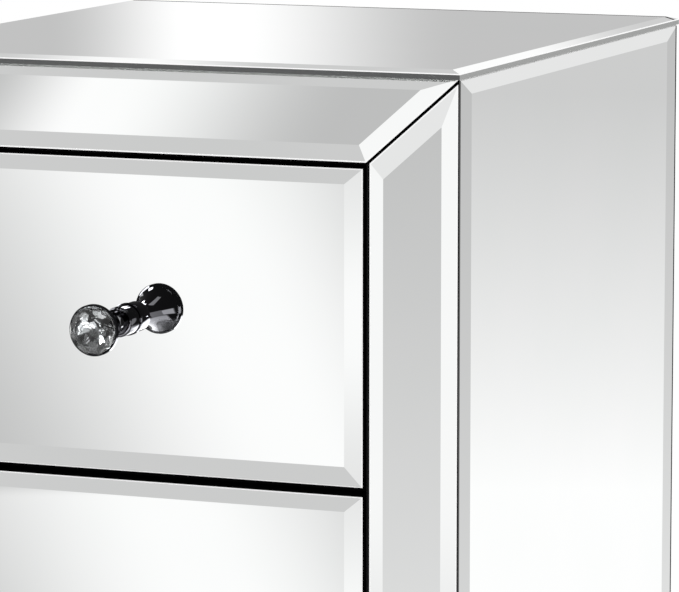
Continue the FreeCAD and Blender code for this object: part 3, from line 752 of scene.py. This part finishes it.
def screw_rings(head, length):
    """Head, ridged shank and point."""
    rings = list(head)
    along, shank = head[-1]
    along += THREAD_PITCH
    while along < length - PLAIN_PITCHES * THREAD_PITCH:
        rings += [(along, shank), (along + THREAD_PITCH / 2, shank - THREAD_DEPTH)]
        along += THREAD_PITCH
    return rings + [(length - POINT_LENGTH, shank - THREAD_DEPTH), (length, POINT_RADIUS)]


# %% [markdown]
# The cross is two tapered blades, cut out of the head with a Boolean modifier, as the punch does it. Faces of
# the head could be pushed in by hand instead, but the head is a single round face.

# %% Cut the cross
CROSS_REACH = 4.2
CROSS_BLADE = 0.9
CROSS_DEPTH = 1.3
REACH_TAPER = 0.5
BLADE_TAPER = 0.8
TIP_FACES = 0.9          # cosine with the way in, above which a face is the blade's tip


def cut_cross(screw, face, way):
    """Cuts two tapered blades into the head, the given way in from its face."""
    inward = WAYS[way][0]
    spans = [axis for axis in range(3) if not inward[axis]]
    for wide, thin in (spans, spans[::-1]):
        bpy.ops.object.select_all(action="DESELECT")
        bpy.ops.mesh.primitive_cube_add(size=1, location=face)
        blade = bpy.context.object
        size = [2 * CROSS_DEPTH * MM] * 3
        size[wide] = CROSS_REACH * MM
        size[thin] = CROSS_BLADE * MM
        blade.scale = size
        bpy.ops.object.transform_apply(location=True, rotation=True, scale=True)
        for side in blade.data.polygons:
            side.select = side.normal.dot(inward) > TIP_FACES
        bpy.ops.object.mode_set(mode="EDIT")
        taper = [REACH_TAPER] * 3
        taper[thin] = BLADE_TAPER
        bpy.ops.transform.resize(value=taper, center_override=face + inward * CROSS_DEPTH * MM)
        bpy.ops.object.mode_set(mode="OBJECT")
        bpy.context.view_layer.objects.active = screw
        cut = screw.modifiers.new("cross", "BOOLEAN")
        cut.operation = "DIFFERENCE"
        cut.object = blade
        bpy.ops.object.modifier_apply(modifier=cut.name)
        bpy.data.objects.remove(blade)


# %% [markdown]
# Screws of one kind are alike, so the first one is drawn and cut, and the others are copies of it at the
# places that were measured. Drawing each would give the same screws more slowly.

# %% Make screws of one kind
SCREW_SMOOTH = math.radians(35)


def make_screws(node, name, boxes, head, way, body="cabinet"):
    """One screw, drawn and cut, and a copy of it in every other box."""
    start = end_of(boxes[0], way)
    out = WAYS[way][0]
    length = abs((boxes[0][1] - boxes[0][0]).dot(out)) / MM
    first = draw_rings(name + "_1", SCREW_SIDES, screw_rings(head, length), start, way)
    cut_cross(first, start, way)
    bpy.ops.object.select_all(action="DESELECT")
    first.select_set(True)
    bpy.context.view_layer.objects.active = first
    bpy.ops.object.shade_smooth_by_angle(angle=SCREW_SMOOTH)
    first.data.materials.clear()
    first.data.materials.append(FINISHES["zinc_steel"])
    dress(first, body, node)
    for number, box in enumerate(boxes[1:], 2):
        dress(copy_to(first, name + "_" + str(number), end_of(box, way) - start), body, node)
    return len(boxes)


# %% [markdown]
# The back board has countersunk screws all round. The feet, the tracks and the knobs have pan heads: up into
# the feet, down into the front of each track, back through its bracket, and forward through the drawer front.

# %% All the screws
made = make_screws("back_board_screws", "back_screw", loose_boxes("back_board_screws"), COUNTERSUNK, "front")
made += make_screws("foot_screws", "foot_screw", loose_boxes("foot_screws"), PAN_HEAD, "up")
upright = []
lying = []
for low, high in loose_boxes("track_screws"):
    (upright if high.z - low.z > high.y - low.y else lying).append((low, high))
made += make_screws("track_screws", "track_front_screw", upright, PAN_HEAD, "down")
made += make_screws("track_screws", "track_bracket_screw", lying, PAN_HEAD, "back")
for drawer in DRAWERS:
    node = drawer + "_knob_screw"
    made += make_screws(node, drawer + "_knob_bolt", [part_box(node)], KNOB_HEAD, "front", drawer + "_drawer")
print("made", made, "screws")

# %% [markdown]
# ## Glide feet
# The table stands on four moulded feet. A moulding has no sharp corners, so the foot gets a domed lower edge
# and a rounded top, and its deep hole takes the screw's head. The profile runs up the outside and back down
# the hole. A bevelled cylinder would come close, but its hole would need a cut of its own.

# %% Feet
FOOT = [(0.0, 13.9), (0.4, 14.9), (1.4, 15.7), (2.8, 16.0), (10.9, 16.0), (11.7, 15.7), (12.0, 15.0),
        (12.0, 1.85), (6.0, 1.85), (6.0, 5.7), (5.6, 6.0), (0.7, 6.0), (0.2, 6.2), (0.0, 6.7), (0.0, 13.9)]
FOOT_SIDES = 64
FOOT_SMOOTH = math.radians(40)
feet = loose_boxes("glide_feet")
first_foot = draw_rings("moulded_foot_1", FOOT_SIDES, FOOT, end_of(feet[0], "up"), "up")
bpy.ops.object.shade_smooth_by_angle(angle=FOOT_SMOOTH)
first_foot.data.materials.append(FINISHES["foot_plastic"])
dress(first_foot, "cabinet", "glide_feet")
for number, box in enumerate(feet[1:], 2):
    copied = copy_to(first_foot, "moulded_foot_" + str(number), end_of(box, "up") - end_of(feet[0], "up"))
    dress(copied, "cabinet", "glide_feet")
print("made", len(feet), "feet")

# %% [markdown]
# ## Eased boards
# Boards that are touched have their corners eased with sandpaper, and a sharp corner never catches the light.
# Each board is a copy of the plain one with a narrow bevel on its edges, rounded in two steps. It is shaded
# flat, because smooth shading would bend the light over the large faces too.

# %% Ease the drawer boards and the back
EASED = 0.7 * MM
EASED_STEPS = 2
EASED_CORNERS = math.radians(40)
FLAT_WITHIN = math.radians(1)
EASED_BOARDS = ("right_side", "left_side", "drawer_back")


def ease(node, name, body):
    """A copy of a board with its edges eased, in place of the plain one."""
    board = mesh_copy(node, name)
    bpy.ops.object.mode_set(mode="EDIT")
    bpy.ops.mesh.select_all(action="SELECT")
    bpy.ops.mesh.dissolve_limited(angle_limit=FLAT_WITHIN)
    bpy.ops.object.mode_set(mode="OBJECT")
    bevel = board.modifiers.new("eased", "BEVEL")
    bevel.width = EASED
    bevel.segments = EASED_STEPS
    bevel.limit_method = "ANGLE"
    bevel.angle_limit = EASED_CORNERS
    bpy.ops.object.modifier_apply(modifier=bevel.name)
    bpy.ops.object.shade_flat()
    dress(board, body, node)


for drawer in DRAWERS:
    for word in EASED_BOARDS:
        ease(drawer + "_" + word, drawer + "_eased_" + word, drawer + "_drawer")
ease("back_board", "eased_back_board", "cabinet")
print("eased", len(EASED_BOARDS) * len(DRAWERS) + 1, "boards")
